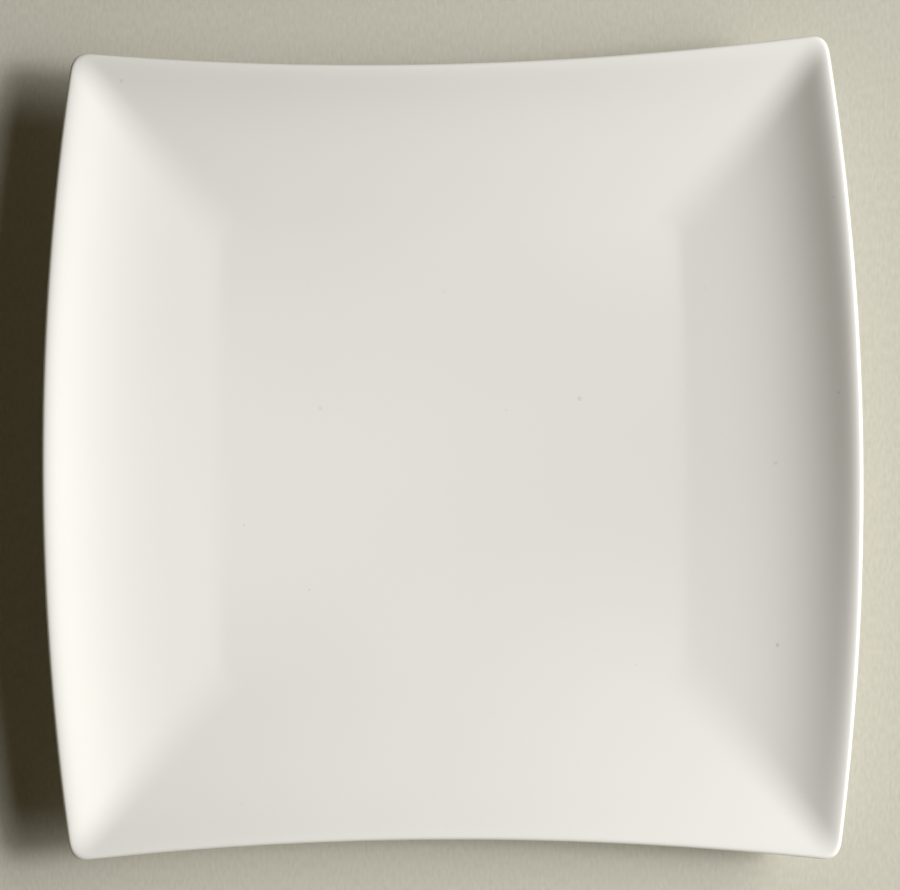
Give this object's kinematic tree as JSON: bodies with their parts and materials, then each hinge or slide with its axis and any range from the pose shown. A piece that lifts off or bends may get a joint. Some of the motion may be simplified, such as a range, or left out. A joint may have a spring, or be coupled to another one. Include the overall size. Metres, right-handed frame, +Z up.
{
  "type": "salad plate",
  "caption": "Square white glazed porcelain salad plate with a shallow well, mitred walls and a waved rim, standing on a square foot ring.",
  "frame": {"origin": "centre of the plate, on the plane of the foot ring's bearing face", "axes": "+Z up out of the well, +X towards a bowed side, +Y towards a drawn-in end"},
  "size_m": [0.212, 0.2106, 0.0227],
  "materials": {
    "bisque": "matt, bare fired porcelain",
    "glaze": "glossy clear glaze over white porcelain"
  },
  "bodies": {
    "root": {"porcelain_body": "bisque", "glaze_coat": "glaze", "base_glaze": "glaze"}
  },
  "joints": []
}
